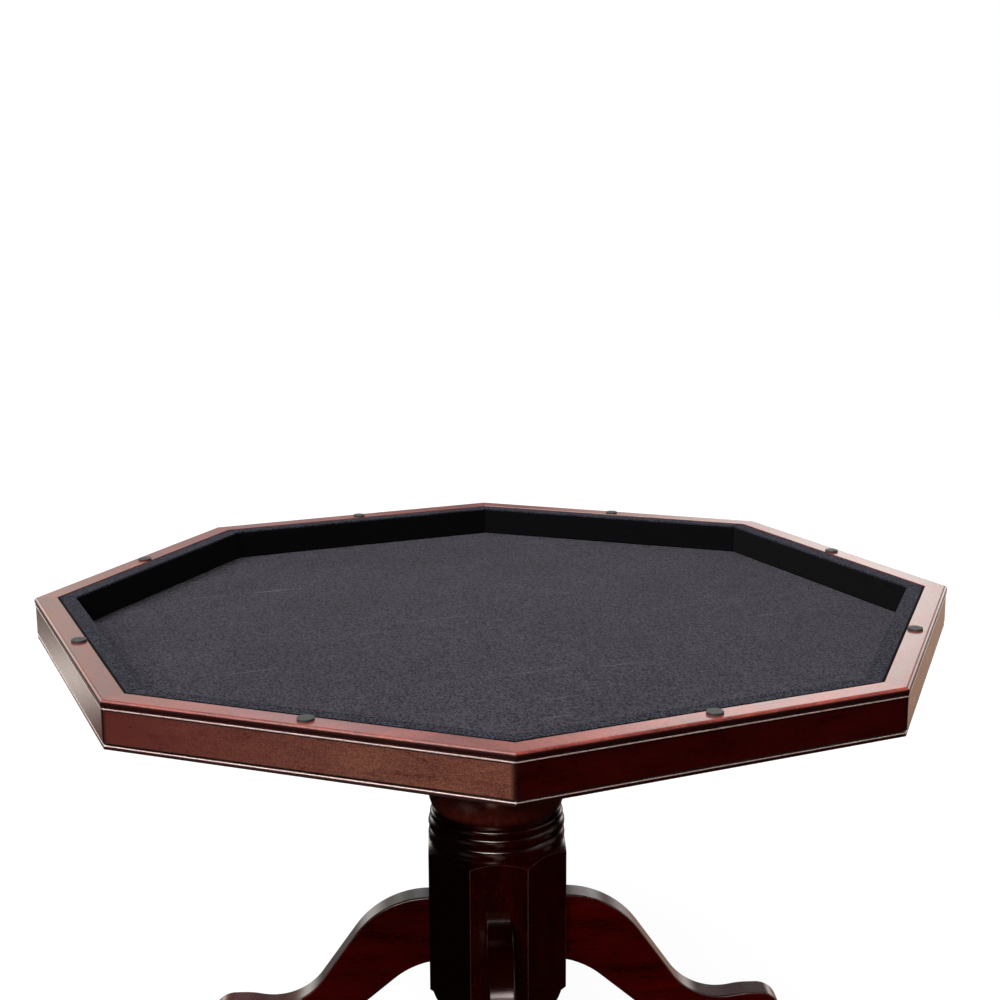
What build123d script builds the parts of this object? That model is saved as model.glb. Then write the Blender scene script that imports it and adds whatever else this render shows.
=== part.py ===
from build123d import *
import math
import os

# Octagonal gaming table: a felt-lined playing well in a moulded rim, carried on two crossed beams,
# a turned and octagonal pedestal column, and four S-shaped legs with screw levelling feet.
# Millimetres. +Z is up, the origin is on the floor under the column's axis, and -Y is the front.
# The corners of the octagonal top, the flats of the column and the legs all lie on the X and Y axes.

# ---- whole table -------------------------------------------------------------------------------
TABLE_HEIGHT = 698.0            # floor to the top of the wooden rim
ACROSS_FLATS = 1219.2           # outer width of the top, flat to flat
SIDES = 8
LEGS = 4
FIRST_SIDE = -67.5              # direction that side 1 faces, degrees from +X: front right
FIRST_LEG = -90.0               # direction of leg 1: front
SLACK = 0.1                     # clearance round fasteners and at glued joints

# ---- rim, apron and felt liner -----------------------------------------------------------------
RIM_WIDTH = 29.5                # width of the wooden rim, seen from above
CAP_HEIGHT = 9.6                # height of the cap moulding on top of the apron
CAP_ROUND = 4.6                 # radius of the cap's outer top edge
CAP_OVERHANG = 1.1              # how far the cap stands proud of the apron
CAP_LIP = 7.4                   # top of the rim to the underside of the cap's nose
QUIRK_DEPTH = 3.4               # groove between cap and apron
APRON_DROP = 60.1               # top of the rim to the bottom of the apron
TOP_BEAD_HEIGHT = 2.2           # small bead along the apron's top edge, below the quirk
TOP_BEAD_PROUD = 0.9            # how far it stands proud of the apron
TOP_BEAD_ROUND = 0.85
BEAD_DROP = 52.6                # top of the rim to the groove above the apron's lower bead
BEAD_GROOVE = 4.0               # depth of that groove
BEAD_GROOVE_HEIGHT = 2.2
BEAD_INSET = 0.6                # bead face behind the apron face
BEAD_ROUND = 2.2
EASE = 0.8                      # small eased edges on machined boards
CORNER_TRIM = 0.8               # how far the apron's sharp corners are rubbed back
RABBET = 17.9                   # shelf under the apron that holds the deck board
LINER_THICKNESS = 23.8          # felt-covered liner boards, which stand on the deck
LINER_GAP = 0.6                 # shadow gap between liner and rim
LINER_ROUND = 2.0
WELL_DEPTH = 45.1               # top of the rim to the playing surface
CLOTH_THICKNESS = 1.6
PAD_RADIUS = 10.0               # rest pads that a loose table top lies on
PAD_THICKNESS = 3.0
PAD_EDGE = 0.8
PAD_PLACE = 10.6                # pad centre, from the rim's inner edge

# ---- structure under the top -------------------------------------------------------------------
BEAM_WIDTH = 60.0
BEAM_HEIGHT = 25.0
BEAM_REACH = 590.0              # half length of each crossed beam
BEAM_TAPER = 60.0               # length of the sloping underside at each beam end
BEAM_END_HEIGHT = 10.0
PLATE_SIZE = 260.0
PLATE_THICKNESS = 22.0
PLATE_CORNER = 12.0

# ---- pedestal column: heights above the floor, and radii ---------------------------------------
COLUMN_FLATS = 203.2            # octagonal part, flat to flat
COLUMN_BOTTOM = 48.0
BORE_FLATS = 104.0              # octagonal hollow of the stave-built lower column
BORE_TOP = 268.0
BUN_RADIUS = 46.0               # turned lower end
BUN_CENTRE = (54.0, 92.0)
BLANK_RADIUS = 112.0            # clear of the octagon's corners
LOWER_SHOULDER = (92.8, 98.4)   # turned cone that cuts the octagon's corners at the bottom
UPPER_SHOULDER = (310.5, 321.3)  # and at the top
SHOULDER_INNER = 100.2
RING_ROOTS = (324.0, 341.0, 359.3, 371.0)       # grooves that bound the three turned rings
RING_ROOT_RADII = (99.7, 98.2, 97.4, 94.1)
RING_CREST_RADII = (101.5, 101.4, 98.9)
NECK = (93.7, 373.0)
BELLY_RADIUS = 59.1
BELLY_CENTRE = (42.3, 402.0)
BELLY_END = 50.0                # degrees above the belly's widest line
WAIST_RADIUS = 60.0
WAIST_END = 38.0                # degrees above the waist's narrowest line
COLLAR_RADIUS = 80.0
COLLAR_BOTTOM = 538.0
COLLAR_TOP = 550.0
FLANGE_RADIUS = 92.0
FLANGE_GROOVE = 76.0

# ---- column plug -------------------------------------------------------------------------------
PLUG_THICKNESS = 12.0
PLUG_INSET = 3.0

# ---- legs --------------------------------------------------------------------------------------
LEG_THICKNESS = 38.0
LEG_EDGE = 3.0                  # rounded long edges of a leg
LEG_TOP = 233.2                 # height of the leg's upper edge at the column
LEG_REACH = 432.5               # toe tip to column axis
LEG_SOLE = 12.0                 # height of the wooden sole above the floor
LEG_SLOPE = 54.8                # steepest slope of the upper edge, degrees
SHOULDER_RADIUS = 136.4
ANKLE_RADIUS = 91.4
ANKLE_PLACE = 340.0             # lowest point of the instep to column axis
INSTEP_RISE = 12.0              # slope that the instep climbs at towards the toe, degrees
TOE_CREST = 386.0
TOE_RADIUS = 34.0
TOE_UNDER_RADIUS = 14.0
UNDER_TOP = 128.9               # height of the leg's lower edge at the column
UNDER_RADIUS = 122.8
UNDER_FIRST_SLOPE = 12.0        # slope of the lower edge at the column, degrees
UNDER_SLOPE = 40.0              # its steepest slope, degrees
HEEL_RADIUS = 110.0

# ---- fasteners ---------------------------------------------------------------------------------
M8_RADIUS = 4.0
RUNNING_CLEARANCE = 0.05
HEX_SIDES = 6
HEX_FLATS = 13.0
HEX_HEIGHT = 5.3
WASHER_RADIUS = 10.0
WASHER_THICKNESS = 1.6
LEG_BOLT_HEIGHTS = (155.0, 208.0)
LEG_BOLT_LENGTH = 76.0
INSERT_RADIUS = 6.5
INSERT_LENGTH = 28.0
LAG_LENGTH = 55.0
LAG_PLACE = 50.0                # lag bolts into the column's top, off centre along X and along Y
SCREW_RADIUS = 2.2
SCREW_HEAD_RADIUS = 4.4
SCREW_HEAD_HEIGHT = 2.8
SCREW_POINT = 5.0
DECK_SCREW_LENGTH = 32.0
DECK_SCREW_SPREAD = 160.0       # from the middle of a side to each of its deck screws
BEAM_SCREW_LENGTH = 36.0
BEAM_SCREW_PLACES = (190.0, 500.0)
PLATE_SCREW_LENGTH = 40.0
PLATE_SCREW_PLACE = 108.0

# ---- levelling feet ----------------------------------------------------------------------------
FOOT_PLACE = 384.0              # foot axis to column axis
FOOT_RADIUS = 17.0
FOOT_TOP_RADIUS = 10.5
FOOT_RIM_HEIGHT = 3.4
FOOT_HEIGHT = 8.4
FOOT_EDGE = 1.0
FOOT_SOCKET = 2.7               # height of the bottom of the foot's socket
STUD_BOTTOM = 3.0
STUD_TOP = 44.0
STUD_HEX_BOTTOM = 8.7
STUD_HEX_HEIGHT = 2.9
STUD_CHAMFER = 0.8
NUT_RADIUS = 5.5                # barrel of the threaded insert in the sole
NUT_LENGTH = 22.0
NUT_FLANGE_RADIUS = 9.0
NUT_FLANGE = 1.5
STUD_HOLE_TOP = 48.0

# ---- worked out from the values above ----------------------------------------------------------
SIDE_TURN = 360.0 / SIDES
LEG_TURN = 360.0 / LEGS
HALF_SIDE = math.radians(SIDE_TURN / 2)
OUTER = ACROSS_FLATS / 2
INNER = OUTER - RIM_WIDTH
LINER_OUTER = INNER - LINER_GAP
WELL_WALL = LINER_OUTER - LINER_THICKNESS
SHELF_WALL = INNER + RABBET
CAP_BOTTOM = TABLE_HEIGHT - CAP_HEIGHT
APRON_BOTTOM = TABLE_HEIGHT - APRON_DROP
FELT_LEVEL = TABLE_HEIGHT - WELL_DEPTH
DECK_TOP = FELT_LEVEL - CLOTH_THICKNESS
BEAM_BOTTOM = APRON_BOTTOM - BEAM_HEIGHT
PLATE_BOTTOM = BEAM_BOTTOM - PLATE_THICKNESS
COLUMN_FACE = COLUMN_FLATS / 2
BORE_FACE = BORE_FLATS / 2
M8_HOLE = M8_RADIUS + SLACK
TALL = 2 * TABLE_HEIGHT         # longer than anything it cuts

# ---- directions in a flat drawing, degrees from +x -----------------------------------------------
UP = 90.0
BACK = 180.0
DOWN = 270.0


# ---- helpers -----------------------------------------------------------------------------------
def save(name, solids):
    """Write one node: one solid, or a group of separate solids."""
    shape = solids[0] if len(solids) == 1 else Compound(children=solids)
    export_step(shape, os.path.join("parts", name + ".step"))


def turned(shape, angle):
    """A copy of a shape turned about the column's axis."""
    return Rot(0, 0, angle) * shape


def profile(*corners):
    """Closed flat face through (x, y, radius) corners; a corner with radius 0 stays sharp."""
    face = make_face(Polyline(*[(x, y) for x, y, _ in corners], close=True))
    for x, y, radius in corners:
        if radius:
            corner = face.vertices().sort_by_distance((x, y, 0))[0]
            face = fillet([corner], radius)
    return face


def octagon(flats, turn=0.0):
    """Octagonal face, flat to flat; its flats face along X and Y unless it is turned."""
    face = RegularPolygon(flats / 2, SIDES, major_radius=False, rotation=SIDE_TURN / 2)
    return Rot(0, 0, turn) * face


def prism(face, bottom, top):
    """Upright solid over a flat face."""
    return extrude(Pos(0, 0, bottom) * face, top - bottom, dir=(0, 0, 1))


def lathe(face):
    """Solid of revolution about Z; the face is drawn with x as radius and y as height."""
    return revolve(Plane.XZ * face, Axis.Z)


def wood_screw(length, spare=0.0):
    """Countersunk screw that points up, with its head's flat face at the origin."""
    shank = SCREW_RADIUS + spare
    head = SCREW_HEAD_RADIUS + spare
    return lathe(
        make_face(
            Polyline(
                (0, 0),
                (head, 0),
                (shank, SCREW_HEAD_HEIGHT),
                (shank, length - SCREW_POINT),
                (0, length + spare),
                close=True,
            )
        )
    )


def hex_bolt(length):
    """M8 bolt that points up, with the underside of its head at the origin."""
    head = prism(RegularPolygon(HEX_FLATS / 2, HEX_SIDES, major_radius=False), -HEX_HEIGHT, 0)
    return head + prism(Circle(M8_RADIUS), 0, length)


def washer():
    """Flat washer whose upper face lies at the origin."""
    return prism(Circle(WASHER_RADIUS) - Circle(M8_HOLE), -WASHER_THICKNESS, 0)


# ---- top ---------------------------------------------------------------------------------------
def side_board(section):
    """Run a section, x outward and y up, along one side of the octagon, mitred at both ends."""
    start = SLACK / 2 / math.sin(HALF_SIDE)
    spread = (ACROSS_FLATS - start) * math.tan(HALF_SIDE)
    wedge = make_face(Polyline((start, 0), (ACROSS_FLATS, spread), (ACROSS_FLATS, -spread), close=True))
    board = extrude(Plane.XZ * section, ACROSS_FLATS / 2, both=True)
    return board & prism(wedge, 0, TALL)


def cap_rail():
    """Moulding with a rounded nose, which forms the visible rim and overhangs the apron."""
    nose = OUTER + CAP_OVERHANG
    lip = TABLE_HEIGHT - CAP_LIP
    back = OUTER - QUIRK_DEPTH
    return side_board(
        profile(
            (INNER, CAP_BOTTOM, 0),
            (INNER, TABLE_HEIGHT, EASE),
            (nose, TABLE_HEIGHT, CAP_ROUND),
            (nose, lip, EASE),
            (back, lip, 0),
            (back, CAP_BOTTOM, 0),
        )
    )


def apron():
    """Upright board with a bead along its top edge and its foot, and a shelf for the deck."""
    groove_top = TABLE_HEIGHT - BEAD_DROP
    groove_bottom = groove_top - BEAD_GROOVE_HEIGHT
    bead = OUTER - BEAD_INSET
    top_bead = OUTER + TOP_BEAD_PROUD
    top_bead_bottom = CAP_BOTTOM - TOP_BEAD_HEIGHT
    section = profile(
        (INNER, DECK_TOP + SLACK, 0),
        (INNER, CAP_BOTTOM, 0),
        (top_bead, CAP_BOTTOM, TOP_BEAD_ROUND),
        (top_bead, top_bead_bottom, TOP_BEAD_ROUND),
        (OUTER, top_bead_bottom, 0),
        (OUTER, groove_top, EASE),
        (OUTER - BEAD_GROOVE, groove_top, 0),
        (OUTER - BEAD_GROOVE, groove_bottom, 0),
        (bead, groove_bottom, BEAD_ROUND),
        (bead, APRON_BOTTOM, EASE),
        (SHELF_WALL, APRON_BOTTOM, 0),
        (SHELF_WALL, DECK_TOP + SLACK, 0),
    )
    corner = OUTER / math.cos(HALF_SIDE) - CORNER_TRIM
    top_corner = top_bead / math.cos(HALF_SIDE) - CORNER_TRIM
    trim = prism(Circle(corner), 0, top_bead_bottom) + prism(Circle(top_corner), top_bead_bottom, TALL)
    return side_board(section) & trim


def felt_rail():
    """Liner board wrapped in felt, standing on the deck board."""
    return side_board(
        profile(
            (WELL_WALL, DECK_TOP, 0),
            (WELL_WALL, TABLE_HEIGHT, LINER_ROUND),
            (LINER_OUTER, TABLE_HEIGHT, LINER_ROUND),
            (LINER_OUTER, DECK_TOP, 0),
        )
    )


def rest_pad():
    """Round bumper on the rim that cushions a loose table top."""
    section = profile(
        (0, 0, 0),
        (PAD_RADIUS, 0, 0),
        (PAD_RADIUS, PAD_THICKNESS, PAD_EDGE),
        (0, PAD_THICKNESS, 0),
    )
    return Pos(INNER + PAD_PLACE, 0, TABLE_HEIGHT) * lathe(section)


def deck_screw_places():
    """Two screws on each side, in the middle of the apron's shelf."""
    shelf_middle = (INNER + SHELF_WALL) / 2
    return [Pos(shelf_middle, way * DECK_SCREW_SPREAD, APRON_BOTTOM) for way in (-1, 1)]


def deck_board():
    """Octagonal panel that closes the well from below."""
    return prism(octagon(2 * (SHELF_WALL - SLACK), SIDE_TURN / 2), APRON_BOTTOM, DECK_TOP)


def play_cloth():
    """Felt glued to the deck, cut to fit between the liner boards."""
    return prism(octagon(2 * (WELL_WALL - SLACK), SIDE_TURN / 2), DECK_TOP, FELT_LEVEL)


# ---- structure under the top -------------------------------------------------------------------
def cross_beam(notch_bottom, notch_top):
    """Beam along X with sloping ends and a half-lap notch between two heights."""
    side = make_face(
        Polyline(
            (-BEAM_REACH, APRON_BOTTOM),
            (BEAM_REACH, APRON_BOTTOM),
            (BEAM_REACH, APRON_BOTTOM - BEAM_END_HEIGHT),
            (BEAM_REACH - BEAM_TAPER, BEAM_BOTTOM),
            (BEAM_TAPER - BEAM_REACH, BEAM_BOTTOM),
            (-BEAM_REACH, APRON_BOTTOM - BEAM_END_HEIGHT),
            close=True,
        )
    )
    beam = extrude(Plane.XZ * side, BEAM_WIDTH / 2, both=True)
    beam = chamfer(beam.edges().filter_by(Axis.X), EASE)
    notch = Rectangle(BEAM_WIDTH + 2 * SLACK, ACROSS_FLATS)
    return beam - prism(notch, notch_bottom, notch_top)


def beam_screw_places():
    """Screws up through one arm of the crossed beams into the deck."""
    return [Pos(place, 0, BEAM_BOTTOM) for place in BEAM_SCREW_PLACES]


def plate_screw_place():
    """Screw up through the plate into one arm of the crossed beams."""
    return Pos(PLATE_SCREW_PLACE, 0, PLATE_BOTTOM)


def lag_place():
    """Lag bolt between two arms of the beams, down through the plate into the column."""
    return Pos(LAG_PLACE, LAG_PLACE, BEAM_BOTTOM) * Rot(180, 0, 0)


def mounting_plate():
    """Square plate that joins the column to the crossed beams."""
    return prism(RectangleRounded(PLATE_SIZE, PLATE_SIZE, PLATE_CORNER), PLATE_BOTTOM, BEAM_BOTTOM)


# ---- pedestal ----------------------------------------------------------------------------------
def rings():
    """The three turned rings, as arcs from groove to groove."""
    arcs = []
    for i, crest in enumerate(RING_CREST_RADII):
        low = (RING_ROOT_RADII[i], RING_ROOTS[i])
        high = (RING_ROOT_RADII[i + 1], RING_ROOTS[i + 1])
        arcs.append(ThreePointArc(low, (crest, (low[1] + high[1]) / 2), high))
    return arcs


def column_outline():
    """Half outline of the turned column: bun foot, octagonal blank, rings, belly, waist, flange."""
    bun_drop = COLUMN_BOTTOM - BUN_CENTRE[1]
    bun_angle = math.degrees(math.asin(bun_drop / BUN_RADIUS))
    bun = CenterArc(BUN_CENTRE, BUN_RADIUS, bun_angle, -bun_angle)
    belly_start = math.degrees(math.asin((NECK[1] - BELLY_CENTRE[1]) / BELLY_RADIUS))
    belly = CenterArc(BELLY_CENTRE, BELLY_RADIUS, belly_start, BELLY_END - belly_start)
    belly_turn = math.radians(BELLY_END)
    waist_centre = (
        BELLY_CENTRE[0] + (BELLY_RADIUS + WAIST_RADIUS) * math.cos(belly_turn),
        BELLY_CENTRE[1] + (BELLY_RADIUS + WAIST_RADIUS) * math.sin(belly_turn),
    )
    waist = CenterArc(waist_centre, WAIST_RADIUS, BACK + BELLY_END, -BELLY_END - WAIST_END)
    collar = ThreePointArc(
        (FLANGE_GROOVE, COLLAR_BOTTOM),
        (COLLAR_RADIUS, (COLLAR_BOTTOM + COLLAR_TOP) / 2),
        (FLANGE_GROOVE, COLLAR_TOP),
    )
    lower_blank = Polyline(
        bun @ 1,
        (SHOULDER_INNER, LOWER_SHOULDER[0]),
        (BLANK_RADIUS, LOWER_SHOULDER[1]),
        (BLANK_RADIUS, UPPER_SHOULDER[0]),
        (SHOULDER_INNER, UPPER_SHOULDER[1]),
        (RING_ROOT_RADII[0], RING_ROOTS[0]),
    )
    neck = Polyline((RING_ROOT_RADII[-1], RING_ROOTS[-1]), NECK, belly @ 0)
    top = Polyline(
        (FLANGE_GROOVE, COLLAR_TOP),
        (FLANGE_RADIUS, COLLAR_TOP),
        (FLANGE_RADIUS, PLATE_BOTTOM),
        (0, PLATE_BOTTOM),
        (0, COLUMN_BOTTOM),
        bun @ 0,
    )
    return [bun, lower_blank, *rings(), neck, belly, waist, Line(waist @ 1, collar @ 0), collar, top]


def pedestal_column():
    """Octagonal blank, turned at both ends, hollow where the legs are bolted on."""
    blank = prism(octagon(COLUMN_FLATS), COLUMN_BOTTOM, PLATE_BOTTOM)
    bore = prism(octagon(BORE_FLATS), COLUMN_BOTTOM, BORE_TOP)
    column = blank & lathe(make_face(column_outline())) - bore
    leg_bolt_hole = prism(Circle(M8_HOLE), 0, LEG_BOLT_LENGTH)
    lag_hole = prism(Circle(M8_HOLE), 0, LAG_LENGTH + SLACK)
    for leg_index in range(LEGS):
        angle = LEG_TURN * leg_index
        for height in LEG_BOLT_HEIGHTS:
            column -= turned(leg_bolt_place(height) * leg_bolt_hole, angle)
        column -= turned(lag_place() * lag_hole, angle)
    return column


def column_plug():
    """Octagonal disc that closes the hollow at the column's foot."""
    bottom = COLUMN_BOTTOM + PLUG_INSET
    return prism(octagon(BORE_FLATS - 2 * SLACK), bottom, bottom + PLUG_THICKNESS)


# ---- legs, drawn along +X ----------------------------------------------------------------------
def leg_bolt_place(height):
    """A leg bolt's axis, pointing outward from the washer's face in the hollow."""
    return Pos(BORE_FACE - WASHER_THICKNESS, 0, height) * Rot(0, 90, 0)


def upper_edge():
    """Shoulder, straight, ankle, instep, toe crest and toe, as tangent arcs and lines."""
    slope = math.radians(LEG_SLOPE)
    rise = math.radians(INSTEP_RISE)
    shoulder = CenterArc((COLUMN_FACE, LEG_TOP - SHOULDER_RADIUS), SHOULDER_RADIUS, UP, -LEG_SLOPE)
    start = shoulder @ 1
    run = (ANKLE_PLACE - start.X - ANKLE_RADIUS * math.sin(slope)) / math.cos(slope)
    ankle_height = start.Y - run * math.sin(slope) + ANKLE_RADIUS * math.cos(slope)
    ankle_centre = (ANKLE_PLACE, ankle_height)
    ankle = CenterArc(ankle_centre, ANKLE_RADIUS, DOWN - LEG_SLOPE, LEG_SLOPE + INSTEP_RISE)
    instep_end = ankle @ 1
    instep_radius = (TOE_CREST - instep_end.X) / math.sin(rise)
    instep_centre = (TOE_CREST, instep_end.Y - instep_radius * math.cos(rise))
    instep = CenterArc(instep_centre, instep_radius, UP + INSTEP_RISE, -INSTEP_RISE)
    crest = instep @ 1
    toe = CenterArc((LEG_REACH - TOE_RADIUS, crest.Y - TOE_RADIUS), TOE_RADIUS, UP, -UP)
    return [shoulder, Line(start, ankle @ 0), ankle, instep, Line(crest, toe @ 0), toe]


def slope_reaches(start, height, slope):
    """How far out a line that falls from start at a slope reaches a height."""
    return start.X + (start.Y - height) / math.tan(slope)


def lower_edge():
    """Underside from the column to the sole and round the tip of the toe."""
    first = math.radians(UNDER_FIRST_SLOPE)
    slope = math.radians(UNDER_SLOPE)
    hollow_centre = (
        COLUMN_FACE - UNDER_RADIUS * math.sin(first),
        UNDER_TOP - UNDER_RADIUS * math.cos(first),
    )
    bend = UNDER_SLOPE - UNDER_FIRST_SLOPE
    hollow = CenterArc(hollow_centre, UNDER_RADIUS, UP - UNDER_FIRST_SLOPE, -bend)
    heel_start_height = LEG_SOLE + HEEL_RADIUS * (1 - math.cos(slope))
    heel_start = slope_reaches(hollow @ 1, heel_start_height, slope)
    heel_centre = (heel_start + HEEL_RADIUS * math.sin(slope), LEG_SOLE + HEEL_RADIUS)
    heel = CenterArc(heel_centre, HEEL_RADIUS, DOWN - UNDER_SLOPE, UNDER_SLOPE)
    tip_centre = (LEG_REACH - TOE_UNDER_RADIUS, LEG_SOLE + TOE_UNDER_RADIUS)
    tip = CenterArc(tip_centre, TOE_UNDER_RADIUS, DOWN, UP)
    return [hollow, Line(hollow @ 1, heel @ 0), heel, Line(heel @ 1, tip @ 0), tip]


def leg():
    """S-shaped board with rounded edges, drilled for its bolts and for the levelling foot."""
    upper = upper_edge()
    lower = lower_edge()
    joint = Line((COLUMN_FACE, LEG_TOP), (COLUMN_FACE, UNDER_TOP))
    face = make_face([*upper, Line(upper[-1] @ 1, lower[-1] @ 1), *lower, joint])
    board = extrude(Plane.XZ * face, LEG_THICKNESS / 2, both=True)
    rims = board.faces().filter_by(Axis.Y).edges()
    shaped = fillet([edge for edge in rims if edge.center().X > COLUMN_FACE + SLACK], LEG_EDGE)
    for height in LEG_BOLT_HEIGHTS:
        pocket = prism(Circle(INSERT_RADIUS + SLACK), 0, INSERT_LENGTH + SLACK)
        shaped -= Pos(COLUMN_FACE, 0, height) * Rot(0, 90, 0) * pocket
    flange = prism(Circle(NUT_FLANGE_RADIUS + SLACK), LEG_SOLE, LEG_SOLE + NUT_FLANGE)
    barrel = prism(Circle(NUT_RADIUS + SLACK), LEG_SOLE, LEG_SOLE + NUT_LENGTH)
    clearance = prism(Circle(M8_RADIUS + 2 * SLACK), LEG_SOLE, STUD_HOLE_TOP)
    return shaped - Pos(FOOT_PLACE, 0, 0) * (flange + barrel + clearance)


def leg_insert(height):
    """Threaded insert in the leg's end grain."""
    tube = prism(Circle(INSERT_RADIUS) - Circle(M8_HOLE), 0, INSERT_LENGTH)
    return Pos(COLUMN_FACE, 0, height) * Rot(0, 90, 0) * tube


# ---- levelling feet, drawn at leg 0 ------------------------------------------------------------
def leveller_nut():
    """Flanged threaded insert, flush with the leg's sole."""
    hole = Circle(M8_RADIUS + RUNNING_CLEARANCE)
    flange = prism(Circle(NUT_FLANGE_RADIUS) - hole, LEG_SOLE, LEG_SOLE + NUT_FLANGE)
    barrel = prism(Circle(NUT_RADIUS) - hole, LEG_SOLE, LEG_SOLE + NUT_LENGTH)
    return Pos(FOOT_PLACE, 0, 0) * (flange + barrel)


def leveller_stud():
    """Threaded stud with a hexagon for a spanner, its lower end turning in the foot's socket."""
    section = profile(
        (0, STUD_BOTTOM, 0),
        (M8_RADIUS, STUD_BOTTOM, 0),
        (M8_RADIUS, STUD_TOP - STUD_CHAMFER, 0),
        (M8_RADIUS - STUD_CHAMFER, STUD_TOP, 0),
        (0, STUD_TOP, 0),
    )
    hexagon = RegularPolygon(HEX_FLATS / 2, HEX_SIDES, major_radius=False)
    spanner_part = prism(hexagon, STUD_HEX_BOTTOM, STUD_HEX_BOTTOM + STUD_HEX_HEIGHT)
    return Pos(FOOT_PLACE, 0, 0) * (lathe(section) + spanner_part)


def leveller_foot():
    """Round foot with a sloping top and a socket for the stud."""
    socket = M8_RADIUS + RUNNING_CLEARANCE
    section = profile(
        (0, 0, 0),
        (FOOT_RADIUS, 0, FOOT_EDGE),
        (FOOT_RADIUS, FOOT_RIM_HEIGHT, FOOT_EDGE),
        (FOOT_TOP_RADIUS, FOOT_HEIGHT, FOOT_EDGE),
        (socket, FOOT_HEIGHT, 0),
        (socket, FOOT_SOCKET, 0),
        (0, FOOT_SOCKET, 0),
    )
    return Pos(FOOT_PLACE, 0, 0) * lathe(section)


# ---- writing the nodes -------------------------------------------------------------------------
def write_top():
    """Rim, aprons, liner boards, pads, deck, cloth and deck screws."""
    shelf_holes = [place * wood_screw(DECK_SCREW_LENGTH, SLACK) for place in deck_screw_places()]
    boards = {
        "cap_rail": cap_rail(),
        "apron": apron() - shelf_holes,
        "felt_rail": felt_rail(),
        "rest_pad": rest_pad(),
    }
    deck = deck_board()
    screws = []
    for side in range(SIDES):
        angle = FIRST_SIDE + SIDE_TURN * side
        for name, shape in boards.items():
            save(f"{name}_{side + 1}", [turned(shape, angle)])
        for place in deck_screw_places():
            screws.append(turned(place * wood_screw(DECK_SCREW_LENGTH), angle))
            deck -= turned(place * wood_screw(DECK_SCREW_LENGTH, SLACK), angle)
    for leg_index in range(LEGS):
        for place in beam_screw_places():
            deck -= turned(place * wood_screw(BEAM_SCREW_LENGTH, SLACK), LEG_TURN * leg_index)
    save("deck_board", [deck])
    save("play_cloth", [play_cloth()])
    save("deck_screws", screws)


def write_structure():
    """Crossed beams, mounting plate and their fasteners."""
    half_way = (BEAM_BOTTOM + APRON_BOTTOM) / 2
    beams = {
        "cross_beam_side": cross_beam(half_way - SLACK / 2, APRON_BOTTOM),
        "cross_beam_front": turned(cross_beam(BEAM_BOTTOM, half_way + SLACK / 2), LEG_TURN),
    }
    plate = mounting_plate()
    groups = {"beam_screws": [], "plate_screws": [], "lag_bolts": [], "lag_washers": []}
    for arm in range(LEGS):
        angle = LEG_TURN * arm
        beam_name = "cross_beam_front" if arm % 2 else "cross_beam_side"
        for place in beam_screw_places():
            groups["beam_screws"].append(turned(place * wood_screw(BEAM_SCREW_LENGTH), angle))
            beams[beam_name] -= turned(place * wood_screw(BEAM_SCREW_LENGTH, SLACK), angle)
        plate_screw = plate_screw_place() * wood_screw(PLATE_SCREW_LENGTH)
        plate_hole = turned(plate_screw_place() * wood_screw(PLATE_SCREW_LENGTH, SLACK), angle)
        groups["plate_screws"].append(turned(plate_screw, angle))
        beams[beam_name] -= plate_hole
        plate -= plate_hole
        lag = lag_place() * Pos(0, 0, -WASHER_THICKNESS) * hex_bolt(LAG_LENGTH)
        groups["lag_bolts"].append(turned(lag, angle))
        groups["lag_washers"].append(turned(lag_place() * washer(), angle))
        plate -= turned(lag_place() * prism(Circle(M8_HOLE), 0, LAG_LENGTH), angle)
    for name, beam in beams.items():
        save(name, [beam])
    save("mounting_plate", [plate])
    for name, solids in groups.items():
        save(name, solids)


def write_pedestal():
    """Column, plug, legs, leg fasteners and levelling feet."""
    save("pedestal_column", [pedestal_column()])
    save("column_plug", [column_plug()])
    leg_board = leg()
    groups = {"leg_bolts": [], "leg_washers": [], "leg_inserts": [], "leveller_nuts": []}
    for index, name in enumerate(("front", "right", "back", "left")):
        angle = FIRST_LEG + LEG_TURN * index
        save(f"leg_{name}", [turned(leg_board, angle)])
        save(f"leveller_stud_{name}", [turned(leveller_stud(), angle)])
        save(f"leveller_foot_{name}", [turned(leveller_foot(), angle)])
        groups["leveller_nuts"].append(turned(leveller_nut(), angle))
        for height in LEG_BOLT_HEIGHTS:
            seat = leg_bolt_place(height)
            groups["leg_bolts"].append(turned(seat * hex_bolt(LEG_BOLT_LENGTH), angle))
            groups["leg_washers"].append(turned(seat * Pos(0, 0, WASHER_THICKNESS) * washer(), angle))
            groups["leg_inserts"].append(turned(leg_insert(height), angle))
    for name, solids in groups.items():
        save(name, solids)


os.makedirs("parts", exist_ok=True)
write_top()
write_structure()
write_pedestal()
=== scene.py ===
import math

import bmesh
import bpy
import numpy as np
from mathutils import Matrix, Vector, noise


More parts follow.
